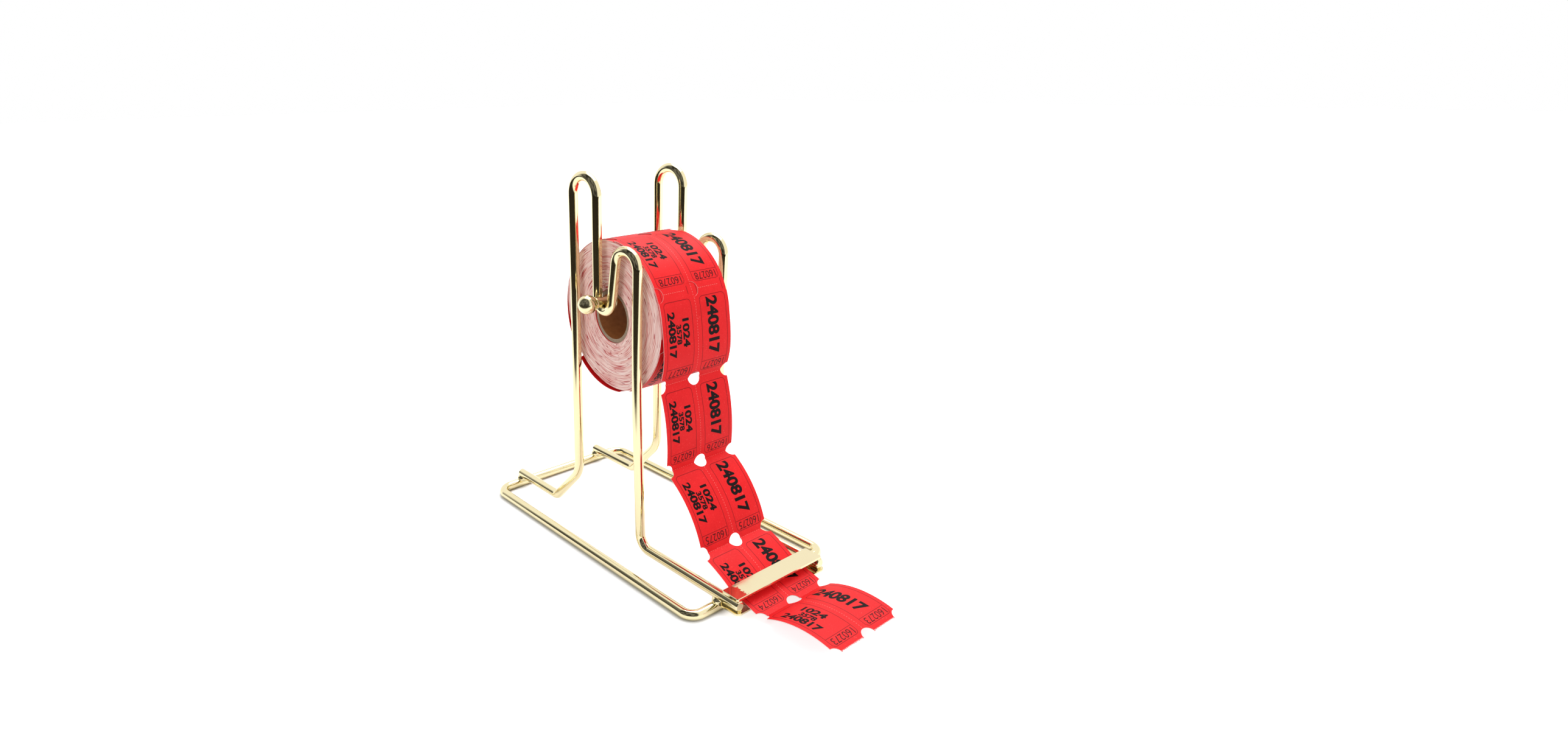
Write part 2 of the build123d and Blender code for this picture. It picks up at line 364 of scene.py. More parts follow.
surface = add_node(
    tree,
    "ShaderNodeMix",
    {"data_type": "VECTOR"},
    {"Factor": at_end.outputs["Result"], 4: level_plate, 5: dipped.outputs["Normal"]},
)
tree.links.new(surface.outputs[1], shader.inputs["Normal"])
for node, material in (
    ("tear_bar", plate_brass),
    ("guide_plate", plate_brass),
    ("braze_seams_bar", braze_brass),
    ("braze_seams_plate", braze_brass),
):
    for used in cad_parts[node].material_slots:
        used.material = material

# ------------------------------------------------------------------ axle
# A turned steel rod with a neck for each saddle, a shoulder and a collar, and a bored ball knob
# pressed on at each end. Turning leaves it satin, so its plate shines more softly than the drawn
# wire.
AXLE_Z = 152.55
ROD_R = 3.2
NECK_R = 2.6
NECK_PLAY = 0.5
COLLAR_R = 3.5
SHOULDER_L = 2.3
COLLAR_L = 1.3
CORNER_EASE = 0.3
KNOB_R = 5.5
KNOB_FLAT_R = 2.8
KNOB_STEPS = 32
SPIGOT_R = 1.8
SPIGOT_L = 4.0
BORE_PLAY = 0.05
BORE_SPARE = 0.3
SAME_POINT = 0.0005
neck_in = FRAME_X - WIRE_R - NECK_PLAY
neck_out = FRAME_X + WIRE_R + NECK_PLAY
collar_x = neck_out + SHOULDER_L
knob_x = collar_x + COLLAR_L
spigot_end = knob_x + SPIGOT_L


def lathe(profile, centre, steps=64, closed=False):
    """Spins a profile of (x, radius) points once round an axis along X through centre."""
    bm = bmesh.new()
    verts = [bm.verts.new((x, 0, r)) for x, r in profile]
    edges = [bm.edges.new(pair) for pair in zip(verts, verts[1:])]
    if closed:
        edges.append(bm.edges.new((verts[-1], verts[0])))
    bmesh.ops.spin(
        bm,
        geom=verts + edges,
        cent=(0, 0, 0),
        axis=(1, 0, 0),
        angle=2 * pi,
        steps=steps,
        use_merge=True,
    )
    bmesh.ops.remove_doubles(bm, verts=bm.verts, dist=SAME_POINT)
    bmesh.ops.recalc_face_normals(bm, faces=bm.faces)
    bmesh.ops.translate(bm, vec=centre, verts=bm.verts)
    return bm


def eased(profile, ease):
    """The same profile with each inner corner replaced by a small round of three points."""
    points = [Vector(p) for p in profile]
    out = [points[0]]
    for before, corner, after in zip(points, points[1:], points[2:]):
        reach = min(ease, (corner - before).length / 2.5, (after - corner).length / 2.5)
        a = corner + (before - corner).normalized() * reach
        b = corner + (after - corner).normalized() * reach
        out += [a, corner * 0.5 + (a + b) * 0.25, b]
    return out + [points[-1]]


axle_brass = brass_plate("brass_plated_turning", "#F7EABD", 0.18, 6.0, 0.05)
half_rod = eased(
    [
        (0, ROD_R),
        (neck_in, ROD_R),
        (neck_in, NECK_R),
        (neck_out, NECK_R),
        (neck_out, ROD_R),
        (collar_x, ROD_R),
        (collar_x, COLLAR_R),
        (knob_x, COLLAR_R),
        (knob_x, SPIGOT_R),
        (spigot_end, SPIGOT_R),
    ],
    CORNER_EASE,
) + [(spigot_end, 0)]
rod = lathe(
    [(-x, r) for x, r in reversed(half_rod)] + [(x, r) for x, r in half_rod[1:]],
    (0, AXLE_Y, AXLE_Z),
)
place_piece("axle", rod, [axle_brass], "axle", ["axle_rod"])
ball_x = knob_x + sqrt(KNOB_R**2 - KNOB_FLAT_R**2)
sweep_end = pi - asin(KNOB_FLAT_R / KNOB_R)
sweep = [sweep_end * i / KNOB_STEPS for i in range(KNOB_STEPS + 1)]
bore_r = SPIGOT_R + BORE_PLAY
bore_end = spigot_end + BORE_SPARE
bored_ball = [(ball_x + KNOB_R * cos(turn), KNOB_R * sin(turn)) for turn in sweep]
bored_ball += [(knob_x, bore_r), (bore_end, bore_r), (bore_end, 0)]
for side, name in ((-1, "left"), (1, "right")):
    knob = lathe([(side * x, r) for x, r in bored_ball], (0, AXLE_Y, AXLE_Z))
    place_piece("knob_" + name, knob, [axle_brass], "axle", ["ball_knob_" + name])

# ------------------------------------------------------------------ ticket stock
# Two inch square double tickets of red coated card, with a hole punched where four tickets meet
# and a row of fine slits between tickets. The fibres show pale wherever the card is cut.
TICKET = 50.8
HALF = TICKET / 2
PUNCH_R = 4.35
NOTCH_STEPS = 12
PAPER_T = 0.3
ROLL_X = -1.6
SLICE = 1.27
CLEAN_CUT = 0.003
SLIT_PITCH = 1.55
TOOTH = 0.32
TOOTH_POINTS = 26
CUT_SHARP = radians(50)

# Dyed red card with a satin coat: an even red, with a faint cloudiness, and fibres that only
# show as pale flecks and as a fine grain in the sheen. The fibres are drawn coarser than real
# ones, which are too fine to show.
CARD_FIBRE = 0.8
CARD_CLOUD = 14
ticket_red, tree, shader = new_material(
    "red_coated_card", {"Roughness": 0.5, "Specular IOR Level": 0.2}
)
place = add_node(tree, "ShaderNodeTexCoord").outputs["Object"]
fibre = add_node(
    tree, "ShaderNodeTexNoise", {"Scale": 1 / (CARD_FIBRE * MM), "Detail": 5.0}, {"Vector": place}
).outputs["Fac"]
cloud = add_node(
    tree, "ShaderNodeTexNoise", {"Scale": 1 / (CARD_CLOUD * MM), "Detail": 2.0}, {"Vector": place}
).outputs["Fac"]
tone = add_node(tree, "ShaderNodeMath", {"operation": "ADD"}, {0: fibre, 1: cloud})
share = add_node(
    tree,
    "ShaderNodeMapRange",
    {"From Min": 0.7, "From Max": 1.3},
    {"Value": tone.outputs["Value"]},
)
dye = add_node(
    tree,
    "ShaderNodeMix",
    {"data_type": "RGBA", 6: linear("#DC171B"), 7: linear("#E81F23")},
    {"Factor": share.outputs["Result"]},
)
grain = add_node(
    tree, "ShaderNodeBump", {"Strength": 0.3, "Distance": 0.05 * MM}, {"Height": fibre}
)
fleck = add_node(
    tree,
    "ShaderNodeMapRange",
    {"From Min": 0.66, "From Max": 0.74, "To Max": 0.5},
    {"Value": fibre},
)
flecked = add_node(
    tree,
    "ShaderNodeMix",
    {"data_type": "RGBA", 7: linear("#F2706C")},
    {"Factor": fleck.outputs["Result"], 6: dye.outputs[2]},
)
tree.links.new(flecked.outputs[2], shader.inputs["Base Color"])
tree.links.new(grain.outputs["Normal"], shader.inputs["Normal"])


def plain(name, colour, roughness):
    """A dull material of one colour, for cut card and ink."""
    settings = {"Base Color": linear(colour), "Roughness": roughness, "Specular IOR Level": 0.15}
    return new_material(name, settings)[0]


# A knife or punch leaves a matt edge of undyed fibre. The inks are thin, and a little shiny.
cut_edge = plain("cut_card_edge", "#EFC4BF", 0.85)
line_ink = plain("dark_red_line_ink", "#8E0D14", 0.45)
black_ink = plain("black_figure_ink", "#0E0405", 0.6)
number_ink = plain("dark_number_ink", "#45090D", 0.5)
slit_fibre = plain("slit_card_fibre", "#EE8C86", 0.9)
torn_fibre = plain("torn_card_fibre", "#F6E6E2", 0.9)


def lay(bm, surface, top, bottom):
    """Slices a flat mesh across, between those lengths along the strip, and bends it onto the
    surface, which gives a point and its outer normal for each length."""
    cuts = ceil((bottom - top) / SLICE)
    for i in range(1, cuts):
        bmesh.ops.bisect_plane(
            bm,
            geom=bm.verts[:] + bm.edges[:] + bm.faces[:],
            dist=CLEAN_CUT,
            plane_co=(0, top + (bottom - top) * i / cuts, 0),
            plane_no=(0, 1, 0),
        )
    for vert in bm.verts:
        point, normal = surface(vert.co.y)
        vert.co = point + Vector((ROLL_X + vert.co.x, 0, 0)) + normal * vert.co.z
    bmesh.ops.reverse_faces(bm, faces=bm.faces)


def notch(u, s, first, last):
    """Points of a punched notch round (u, s), from one angle in degrees to another."""
    steps = range(NOTCH_STEPS + 1)
    turns = [radians(first + (last - first) * i / NOTCH_STEPS) for i in steps]
    return [(u + PUNCH_R * cos(t), s + PUNCH_R * sin(t)) for t in turns]


def torn(first, last, s):
    """Points of the ragged fringe that is left when a ticket is torn off along its slits."""
    points = []
    for i in range(1, TOOTH_POINTS):
        depth = TOOTH * (i % 2) * (1.1 + noise.noise((i * 0.7, first, 3.1)))
        points.append((first + (last - first) * i / TOOTH_POINTS, s - 2 * TOOTH + depth))
    return points


def ticket_sheet(name, surface, top, bottom, ends, body, stands_for=()):
    """One ticket of the strip, from one length along it to another, cut round its notches. Each
    of its ends is punched, torn, or joined to its other piece."""
    outline = []
    if ends[0] == "punched":
        outline += notch(-HALF, top, 90, 0) + notch(0, top, 180, 0) + notch(HALF, top, 180, 90)
    else:
        outline += [(-HALF, top), (HALF, top)]
    if ends[1] == "joined":
        outline += [(HALF, bottom), (-HALF, bottom)]
    else:
        outline += notch(HALF, bottom, 270, 180)
        outline += torn(HALF - PUNCH_R, PUNCH_R, bottom) if ends[1] == "torn" else []
        outline += notch(0, bottom, 360, 180)
        outline += torn(-PUNCH_R, PUNCH_R - HALF, bottom) if ends[1] == "torn" else []
        outline += notch(-HALF, bottom, 360, 270)
    bm = bmesh.new()
    flat = bm.faces.new([bm.verts.new((u, s, -PAPER_T / 2)) for u, s in outline])
    grown = bmesh.ops.extrude_face_region(bm, geom=[flat])["geom"]
    upper = [part for part in grown if isinstance(part, bmesh.types.BMVert)]
    bmesh.ops.translate(bm, vec=(0, 0, PAPER_T), verts=upper)
    bmesh.ops.recalc_face_normals(bm, faces=bm.faces)
    for face in bm.faces:
        at = face.calc_center_median().y
        joins = ends[0] == "joined" and at < top + SAME_POINT
        joins = joins or (ends[1] == "joined" and at > bottom - SAME_POINT)
        face.material_index = 0 if abs(face.normal.z) > 0.5 or joins else 1
    lay(bm, surface, top, bottom)
    place_piece(name, bm, [ticket_red, cut_edge], body, stands_for, CUT_SHARP)


# The print on a ticket: a dark red border on each half, with the ticket's number in the box at
# its end, and plain black figures.
FRAME_IN = 3.2
FRAME_OUT = 22.9
FRAME_TOP = 4.6
FRAME_LOW = 47.2
FRAME_R = 2.6
NUMBER_LINE = 41.0
NUMBER_AT = (-1.8, 42.1)  # from the border's side, and along the ticket
NUMBER_H = 4.3
NUMBER_L = 15.8
INK_LINE = 0.32
INK_LIFT = PAPER_T / 2 + 0.02
BOLDER = 0.04
GLYPH_MERGE = 1e-5
FINEST_EDGE = 0.01
SLIT_LEAD = 0.25
SLIT_SHARE = 0.5
MIDDLE_SLITS = (-0.09, 0.09)
END_SLITS = (0.02, 0.2)
LINES, BLACK, SLITS, NUMBERS = range(4)
# Each row of figures: the digits, their place across and along the ticket, and their height and
# length.
FIGURES = [
    ("240817", 7.9, 5.7, 8.6, 32.4),
    ("1024", -11.0, 14.5, 4.9, 15.6),
    ("3578", -15.7, 17.2, 3.7, 10.7),
    ("240817", -21.4, 9.9, 5.3, 25.1),
]


def figures(text, height, length, weight):
    """Flat figures of that height, spread over that length, from the built-in typeface."""
    curve = bpy.data.curves.new("figures", "FONT")
    curve.body = text
    curve.offset = weight
    holder = bpy.data.objects.new("figures", curve)
    bpy.context.scene.collection.objects.link(holder)
    mesh = bpy.data.meshes.new_from_object(holder)
    bpy.data.objects.remove(holder)
    bpy.data.curves.remove(curve)
    bm = bmesh.new()
    bm.from_mesh(mesh)
    bpy.data.meshes.remove(mesh)
    bmesh.ops.remove_doubles(bm, verts=bm.verts, dist=GLYPH_MERGE)
    low = Vector([min(v.co[i] for v in bm.verts) for i in range(3)])
    high = Vector([max(v.co[i] for v in bm.verts) for i in range(3)])
    size = high - low
    bmesh.ops.translate(bm, vec=-low, verts=bm.verts)
    bmesh.ops.scale(bm, vec=(length / size.x, height / size.y, 1), verts=bm.verts)
    bmesh.ops.dissolve_degenerate(bm, edges=bm.edges, dist=FINEST_EDGE)
    return bm


def add_flat(target, source, turn, offset, index):
    """Copies a flat mesh into another, turned and moved, with one material index."""
    bmesh.ops.transform(source, matrix=Matrix.Translation(offset) @ turn, verts=source.verts)
    copies = {vert: target.verts.new(vert.co) for vert in source.verts}
    for face in source.faces:
        target.faces.new([copies[vert] for vert in face.verts]).material_index = index
    source.free()


def flat_bar(target, u0, u1, s0, s1, index):
    """A flat rectangle with one material index."""
    corners = [(u0, s0), (u1, s0), (u1, s1), (u0, s1)]
    target.faces.new([target.verts.new((u, s, 0)) for u, s in corners]).material_index = index


def border(target, u0, u1):
    """A rounded border as a flat band of ink."""
    left, right = u0 + FRAME_R, u1 - FRAME_R
    top, low = FRAME_TOP + FRAME_R, FRAME_LOW - FRAME_R
    centres = [(right, low), (left, low), (left, top), (right, top)]
    turns = [(c, radians(90 * k + 15 * i)) for k, c in enumerate(centres) for i in range(7)]
    outer, inner = [
        [target.verts.new((u + r * cos(t), s + r * sin(t), 0)) for (u, s), t in turns]
        for r in (FRAME_R, FRAME_R - INK_LINE)
    ]
    for i in range(len(outer)):
        j = (i + 1) % len(outer)
        target.faces.new((outer[i], outer[j], inner[j], inner[i])).material_index = LINES


def ticket_print(name, surface, low, high, body, number):
    """All the ink and the slits on one ticket, a hair above the card, between two lengths."""
    bm = bmesh.new()
    mirrored = Matrix.Diagonal((-1, 1, 1, 1))
    along = Matrix(((0, 1, 0, 0), (1, 0, 0, 0), (0, 0, 1, 0), (0, 0, 0, 1)))
    for side in (-1, 1):
        u0, u1 = sorted((side * FRAME_IN, side * FRAME_OUT))
        border(bm, u0, u1)
        line = (u0 + INK_LINE, u1 - INK_LINE, NUMBER_LINE, NUMBER_LINE + INK_LINE)
        flat_bar(bm, *line, LINES)
        at = (u1 + NUMBER_AT[0], NUMBER_AT[1], 0)
        add_flat(bm, figures(number, NUMBER_H, NUMBER_L, 0.0), mirrored, at, NUMBERS)
    for text, u, s, height, length in FIGURES:
        add_flat(bm, figures(text, height, length, BOLDER), along, (u, s, 0), BLACK)
    slit = SLIT_SHARE * SLIT_PITCH
    for i in range(int((TICKET - 2 * PUNCH_R) / SLIT_PITCH)):
        at = PUNCH_R + (i + SLIT_LEAD) * SLIT_PITCH
        flat_bar(bm, *MIDDLE_SLITS, at, at + slit, SLITS)
    for start in (PUNCH_R - HALF, PUNCH_R):
        for i in range(int((HALF - 2 * PUNCH_R) / SLIT_PITCH)):
            at = start + (i + SLIT_LEAD) * SLIT_PITCH
            flat_bar(bm, at, at + slit, *END_SLITS, SLITS)
    for edge, way in ((low, -1), (high, 1)):
        bmesh.ops.bisect_plane(
            bm,
            geom=bm.verts[:] + bm.edges[:] + bm.faces[:],
            plane_co=(0, edge, 0),
            plane_no=(0, way, 0),
            clear_outer=True,
        )
    bm.normal_update()
    bmesh.ops.reverse_faces(bm, faces=[face for face in bm.faces if face.normal.z < 0])
    bmesh.ops.translate(bm, vec=(0, 0, INK_LIFT), verts=bm.verts)
    lay(bm, surface, low, high)
    inks = [line_ink, black_ink, slit_fibre, number_ink]
    place_piece(name, bm, inks, body, sharp=pi)


# ------------------------------------------------------------------ core
# A tube of spirally wound chipboard with a brown kraft liner, which hangs on the axle. The
# paper is wound on it, so it turns with the roll.
ROLL_Z = 142.5
CORE_BORE_R = 13.4
CORE_R = 15.7
CORE_INSET = 0.6
core_end = HALF - CORE_INSET


def mottled(name, roughness, patch, detail, dark, light):
    """A dull material mottled between two colours, in patches of that many millimetres."""
    material, tree, shader = new_material(name, {"Roughness": roughness})
    place = add_node(tree, "ShaderNodeTexCoord").outputs["Object"]
    pulp = add_node(
        tree,
        "ShaderNodeTexNoise",
        {"Scale": 1 / (patch * MM), "Detail": detail},
        {"Vector": place},
    )
    blend = add_node(
        tree,
        "ShaderNodeMix",
        {"data_type": "RGBA", 6: linear(dark), 7: linear(light)},
        {"Factor": pulp.outputs["Fac"]},
    )
    tree.links.new(blend.outputs[2], shader.inputs["Base Color"])
    return material


# Chipboard shows grey-brown, rough and flecked where it is cut. The kraft liner is smoother,
# and mottled in two warm browns.
chipboard = mottled("cut_chipboard", 0.9, 0.7, 4.0, "#6E5C4A", "#B5A28C")
kraft = mottled("kraft_liner", 0.6, 2.5, 6.0, "#8F5428", "#B97B49")

wall = [
    (-core_end, CORE_R),
    (-core_end, CORE_BORE_R),
    (core_end, CORE_BORE_R),
    (core_end, CORE_R),
]
core = lathe(wall, (ROLL_X, AXLE_Y, ROLL_Z), steps=96, closed=True)
for face in core.faces:
    centre = face.calc_center_median()
    from_axis = Vector((0, centre.y - AXLE_Y, centre.z - ROLL_Z)).length
    if abs(face.normal.x) < 0.5 and from_axis < (CORE_BORE_R + CORE_R) / 2:
        face.material_index = 1
place_piece("core", core, [chipboard, kraft], "roll", ["core_tube"])

# ------------------------------------------------------------------ wound roll
# Some hundred turns of the strip, wound a little unevenly, so its ends are a pale pink face of
# cut edges with red showing between the turns.
ROLL_R = 45.0
TURN_GAP = 0.05
CORE_GAP = 0.1
BODY_R = ROLL_R - 2 * PAPER_T - TURN_GAP
PAPER_IN_R = CORE_R + CORE_GAP
BANDS = [0.0, 0.28, 0.06, 0.34, 0.12, 0.4, 0.2, 0.3, 0.05, 0.25]
FACE_RINGS = 72
FACE_STEPS = 192
SAG = 2.0
SAG_AT = 4.0
SAG_REACH = 1.2
SAG_SPREAD = 1.3
LEAN = 0.22
RAGGED = 0.1

# The wound edges: pale fibre with red hairlines that come and go round the turns, and short
# dark red dashes where a notch or a row of slits meets the face, which are the red card in the
# gap darkened with painted shade. The turns are drawn about twice as thick as the card, because
# real ones are too fine to show. Each pattern has how often it changes round the turns, how many
# millimetres it takes across them, and its detail, and then the levels of noise between which it
# comes in.
SWAY = (1.3, 9.0, 1.0)
SWAY_MM = 2.4
RELIEF = (3.0, 0.5, 2.0)
HAIRLINES = (2.2, 0.26, 1.0), (0.5, 0.64)
TINTS = (1.5, 1.2, 3.0), (0.35, 0.65)
SHADED_NOTCH_DASHES = (6.0, 0.45, 0.0), (0.7, 0.76)
wound_edge, tree, shader = new_material("wound_card_edges", {"Roughness": 0.8})
place = add_node(tree, "ShaderNodeTexCoord").outputs["Object"]
centred = add_node(
    tree, "ShaderNodeMapping", {"Location": (0, -AXLE_Y * MM, -ROLL_Z * MM)}, {"Vector": place}
)
flat = add_node(
    tree,
    "ShaderNodeVectorMath",
    {"operation": "MULTIPLY", 1: (0, 1, 1)},
    {0: centred.outputs["Vector"]},
).outputs["Vector"]
radius = add_node(tree, "ShaderNodeVectorMath", {"operation": "LENGTH"}, {0: flat})
heading = add_node(tree, "ShaderNodeVectorMath", {"operation": "NORMALIZE"}, {0: flat})
radius_mm = add_node(
    tree, "ShaderNodeMath", {"operation": "MULTIPLY", 1: 1 / MM}, {0: radius.outputs["Value"]}
).outputs["Value"]


def polar_noise(turn, around, across, detail):
    """Noise that changes this often around a turn, and once in so many millimetres across."""
    stretched = add_node(
        tree,
        "ShaderNodeVectorMath",
        {"operation": "MULTIPLY", 1: (0, around, around)},
        {0: heading.outputs["Vector"]},
    )
    scaled = add_node(
        tree, "ShaderNodeMath", {"operation": "MULTIPLY", 1: 1 / across}, {0: turn}
    )
    split = add_node(tree, "ShaderNodeSeparateXYZ", {}, {0: stretched.outputs["Vector"]})
    joined = add_node(
        tree,
        "ShaderNodeCombineXYZ",
        {},
        {"X": scaled.outputs["Value"], "Y": split.outputs["Y"], "Z": split.outputs["Z"]},
    )
    patches = add_node(
        tree,
        "ShaderNodeTexNoise",
        {"Scale": 1.0, "Detail": detail},
        {"Vector": joined.outputs["Vector"]},
    )
    return patches.outputs["Fac"]


sway = add_node(
    tree,
    "ShaderNodeMath",
    {"operation": "MULTIPLY", 1: SWAY_MM},
    {0: polar_noise(radius_mm, *SWAY)},
)
turn = add_node(
    tree, "ShaderNodeMath", {"operation": "ADD"}, {0: radius_mm, 1: sway.outputs["Value"]}
).outputs["Value"]
hairline, tint, notch_shade = [
    add_node(
        tree,
        "ShaderNodeMapRange",
        {"From Min": levels[0], "From Max": levels[1]},
        {"Value": polar_noise(turn, *patch)},
    ).outputs["Result"]
    for patch, levels in (HAIRLINES, TINTS, SHADED_NOTCH_DASHES)
]
pale = add_node(
    tree,
    "ShaderNodeMix",
    {"data_type": "RGBA", 6: linear("#EFC1B7"), 7: linear("#FAE2DA")},
    {"Factor": tint},
)
lined = add_node(
    tree,
    "ShaderNodeMix",
    {"data_type": "RGBA", 7: linear("#CC6864")},
    {"Factor": hairline, 6: pale.outputs[2]},
)
# Dark red dashes: the red card inside a notch gap, darkened with painted shade.
shaded_dashes = add_node(
    tree,
    "ShaderNodeMix",
    {"data_type": "RGBA", 7: linear("#A30D18")},
    {"Factor": notch_shade, 6: lined.outputs[2]},
)
relief = add_node(
    tree,
    "ShaderNodeBump",
    {"Strength": 0.5, "Distance": 0.12 * MM},
    {"Height": polar_noise(turn, *RELIEF)},
)
tree.links.new(shaded_dashes.outputs[2], shader.inputs["Base Color"])
tree.links.new(relief.outputs["Normal"], shader.inputs["Normal"])

rings = [PAPER_IN_R + (BODY_R - PAPER_IN_R) * i / FACE_RINGS for i in range(FACE_RINGS + 1)]
body_profile = [(-HALF, r) for r in rings] + [(HALF, r) for r in reversed(rings)]
roll = lathe(body_profile, (ROLL_X, AXLE_Y, ROLL_Z), steps=FACE_STEPS, closed=True)
for vert in roll.verts:
    out = Vector((0, vert.co.y - AXLE_Y, vert.co.z - ROLL_Z))
    outward = out.normalized()
    share = (out.length - PAPER_IN_R) / (BODY_R - PAPER_IN_R)
    off_sag = atan2(out.z, -out.y) % (2 * pi) - SAG_AT
    if abs(off_sag) < SAG_REACH:
        vert.co -= outward * (SAG * share**3 * max(0.0, cos(off_sag * SAG_SPREAD)))
    band = BANDS[min(int(share * len(BANDS)), len(BANDS) - 1)]
    lean = LEAN * noise.noise(outward * 1.4 + Vector((share * 5, 0, 0)))
    ragged = RAGGED * noise.noise(outward * 5 + Vector((share * 60, 0, 0)))
    vert.co.x -= (band + lean + ragged) if vert.co.x < ROLL_X else (band - lean - ragged)
roll.normal_update()
for face in roll.faces:
    face.material_index = 0 if abs(face.normal.x) > 0.3 else 1
cards = [wound_edge, ticket_red]
place_piece("wound_roll", roll, cards, "roll", ["ticket_roll"], sharp=radians(60))

# ------------------------------------------------------------------ outer turn
# The outermost turn of tickets. It has slackened and crept sideways behind and below, so it
# stands proud of the roll's face there, and it passes under its own start at the front.
FIRST_ROW = 0.45
FIRST_NUMBER = 160277
CREEP = 1.4
CREPT_AT = 4.5
CREPT_REACH = 1.7
CREPT_SPREAD = 0.9
WOUND_TICKETS = 6


def on_turn(angle):
    """A point of the outer turn, at an angle up and over from the roll's front, and its normal."""
    normal = Vector((0, -cos(angle), sin(angle)))
    depth = PAPER_T / 2 + PAPER_T * max(angle - FIRST_ROW, 0) / (2 * pi)
    crept = 0.0
    if abs(angle - CREPT_AT) < CREPT_REACH:
        crept = CREEP * max(0.0, cos((angle - CREPT_AT) * CREPT_SPREAD)) ** 2
    return Vector((-crept, AXLE_Y, ROLL_Z)) + normal * (ROLL_R - depth), normal


for index in range(WOUND_TICKETS):
    row = FIRST_ROW + (index + 1) * TICKET / ROLL_R

    def turned(s, row=row):
        return on_turn(row - s / ROLL_R)

    name = "wound_ticket_%d" % (index + 1)
    number = str(FIRST_NUMBER + 1 + index)
    ticket_sheet(name, turned, 0, TICKET, ("punched", "punched"), "roll")
    ticket_print(name + "_print", turned, 0, TICKET, "roll", number)


# ------------------------------------------------------------------ hanging strip
# The strip leaves the front of the roll, hangs in four tickets that keep the curl of the roll
# and break at their slits, and passes through the slot. The last ticket arches on the counter.
STANDS_OFF = 0.5
FOLDS = [(-0.064, 0.239), (0.039, 0.612), (0.590, 0.905)]  # as shares of the way to the slot
MOUTH_DROP = 0.8
LAST_FOLD = (-10.8, -4.25)  # from the bar's front edge and the wires' middle
TORN_END = (-49.0, 5.2)  # from the last fold
SECOND_BULGE = 3.1
THIRD_BULGE = 5.0
FOURTH_BULGE = 0.8
END_BULGE = 5.2
END_SPARE = 0.5
ARC_OVER_CHORD = 1.0016
LIFTS_OFF = 0.12  # the angle where the strip leaves the roll
LEAVES = 22.5  # the length where its first ticket is parted between the two bodies
EASE = 14.0
INTO_FOLD = Vector((0.43, -0.90))
WOUND_POINTS = 12
ROUTE_POINTS = 40


def arc_run(start, end, bulge, first, last):
    """The surface of a run whose lengths go from first to last: an arc that bulges outwards."""
    a, b = Vector((0, *start)), Vector((0, *end))
    chord = (b - a).length
    along = (b - a) / chord
    outer = Vector((0, along.z, -along.y))
    radius = (chord * chord / 4 + bulge * bulge) / (2 * bulge)
    centre = (a + b) / 2 - outer * (radius - bulge)
    half_turn = asin(chord / 2 / radius)

    def surface(s):
        turn = half_turn * (2 * (s - first) / (last - first) - 1)
        normal = outer * cos(turn) + along * sin(turn)
        return centre + normal * radius, normal

    return surface


roll_front = Vector((AXLE_Y - ROLL_R - STANDS_OFF, ROLL_Z))
to_slot = Vector((bar_rear_y, CROSS_Z)) - roll_front
fold_1, fold_2, fold_3 = [
    roll_front + Vector((to_slot.x * forth, to_slot.y * down)) for forth, down in FOLDS
]
mouth = Vector((bar_rear_y, CROSS_Z + WIRE_R - MOUTH_DROP))
last_fold = Vector((bar_front_y + LAST_FOLD[0], CROSS_Z + LAST_FOLD[1]))
torn_end = last_fold + Vector(TORN_END)
to_mouth = (mouth - fold_3).length * ARC_OVER_CHORD
way_out = (last_fold - mouth).normalized()
down_to_slot = arc_run(fold_3, mouth, FOURTH_BULGE, 0, to_mouth)


def first_route():
    """Points of the first ticket's route: down the roll, then off it in one curve to the fold."""
    turns = [
        FIRST_ROW + (LIFTS_OFF - FIRST_ROW) * i / WOUND_POINTS for i in range(WOUND_POINTS + 1)
    ]
    wound = [on_turn(turn)[0].yz for turn in turns]
    down = Vector((-sin(LIFTS_OFF), -cos(LIFTS_OFF)))
    knots = (wound[-1], wound[-1] + down * EASE, fold_1 - INTO_FOLD * EASE, fold_1)
    curve = interpolate_bezier(*[knot.to_3d() for knot in knots], ROUTE_POINTS)
    return wound[:-1] + [point.xy for point in curve]


route = first_route()
route_lengths = [0.0, *accumulate((b - a).length for a, b in zip(route, route[1:]))]


def first_surface(s):
    """The first ticket from its upper row to its fold, by length along its route."""
    share = s / TICKET * route_lengths[-1]
    i = min(max(bisect_right(route_lengths, share) - 1, 0), len(route) - 2)
    part = (share - route_lengths[i]) / (route_lengths[i + 1] - route_lengths[i])
    ends = [(route[max(k - 1, 0)], route[min(k + 1, len(route) - 1)]) for k in (i, i + 1)]
    before, after = [(b - a).normalized() for a, b in ends]
    way = before.lerp(after, part).normalized()
    point = route[i].lerp(route[i + 1], part)
    return Vector((0, *point)), Vector((0, way.y, -way.x))


def through_slot(s):
    """The fourth ticket: an arc down to the mouth of the slot and a straight run out of it."""
    if s < to_mouth:
        return down_to_slot(s)
    share = (s - to_mouth) / (TICKET - to_mouth)
    return Vector((0, *mouth.lerp(last_fold, share))), Vector((0, way_out.y, -way_out.x))


# Each piece: its surface, the lengths and ends it runs between, its body and what it stands for.
# The first ticket is in two pieces, and the numbers count down along the strip.
second_surface = arc_run(fold_1, fold_2, SECOND_BULGE, 0, TICKET)
third_surface = arc_run(fold_2, fold_3, THIRD_BULGE, 0, TICKET)
end_surface = arc_run(last_fold, torn_end, END_BULGE, 0, TICKET + END_SPARE)
whole = (0, TICKET, ("punched", "punched"), "stand")
strip = [
    ("first_ticket_wound", first_surface, 0, LEAVES, ("punched", "joined"), "roll", []),
    ("first_ticket", first_surface, LEAVES, TICKET, ("joined", "punched"), "stand", ["ticket_1"]),
    ("second_ticket", second_surface, *whole, ["ticket_2"]),
    ("third_ticket", third_surface, *whole, ["ticket_3"]),
    ("fourth_ticket", through_slot, *whole, ["ticket_4"]),
    ("end_ticket", end_surface, 0, TICKET, ("punched", "torn"), "end_ticket", ["ticket_5"]),
]
numbers = [FIRST_NUMBER - place for place in (0, 0, 1, 2, 3, 4)]
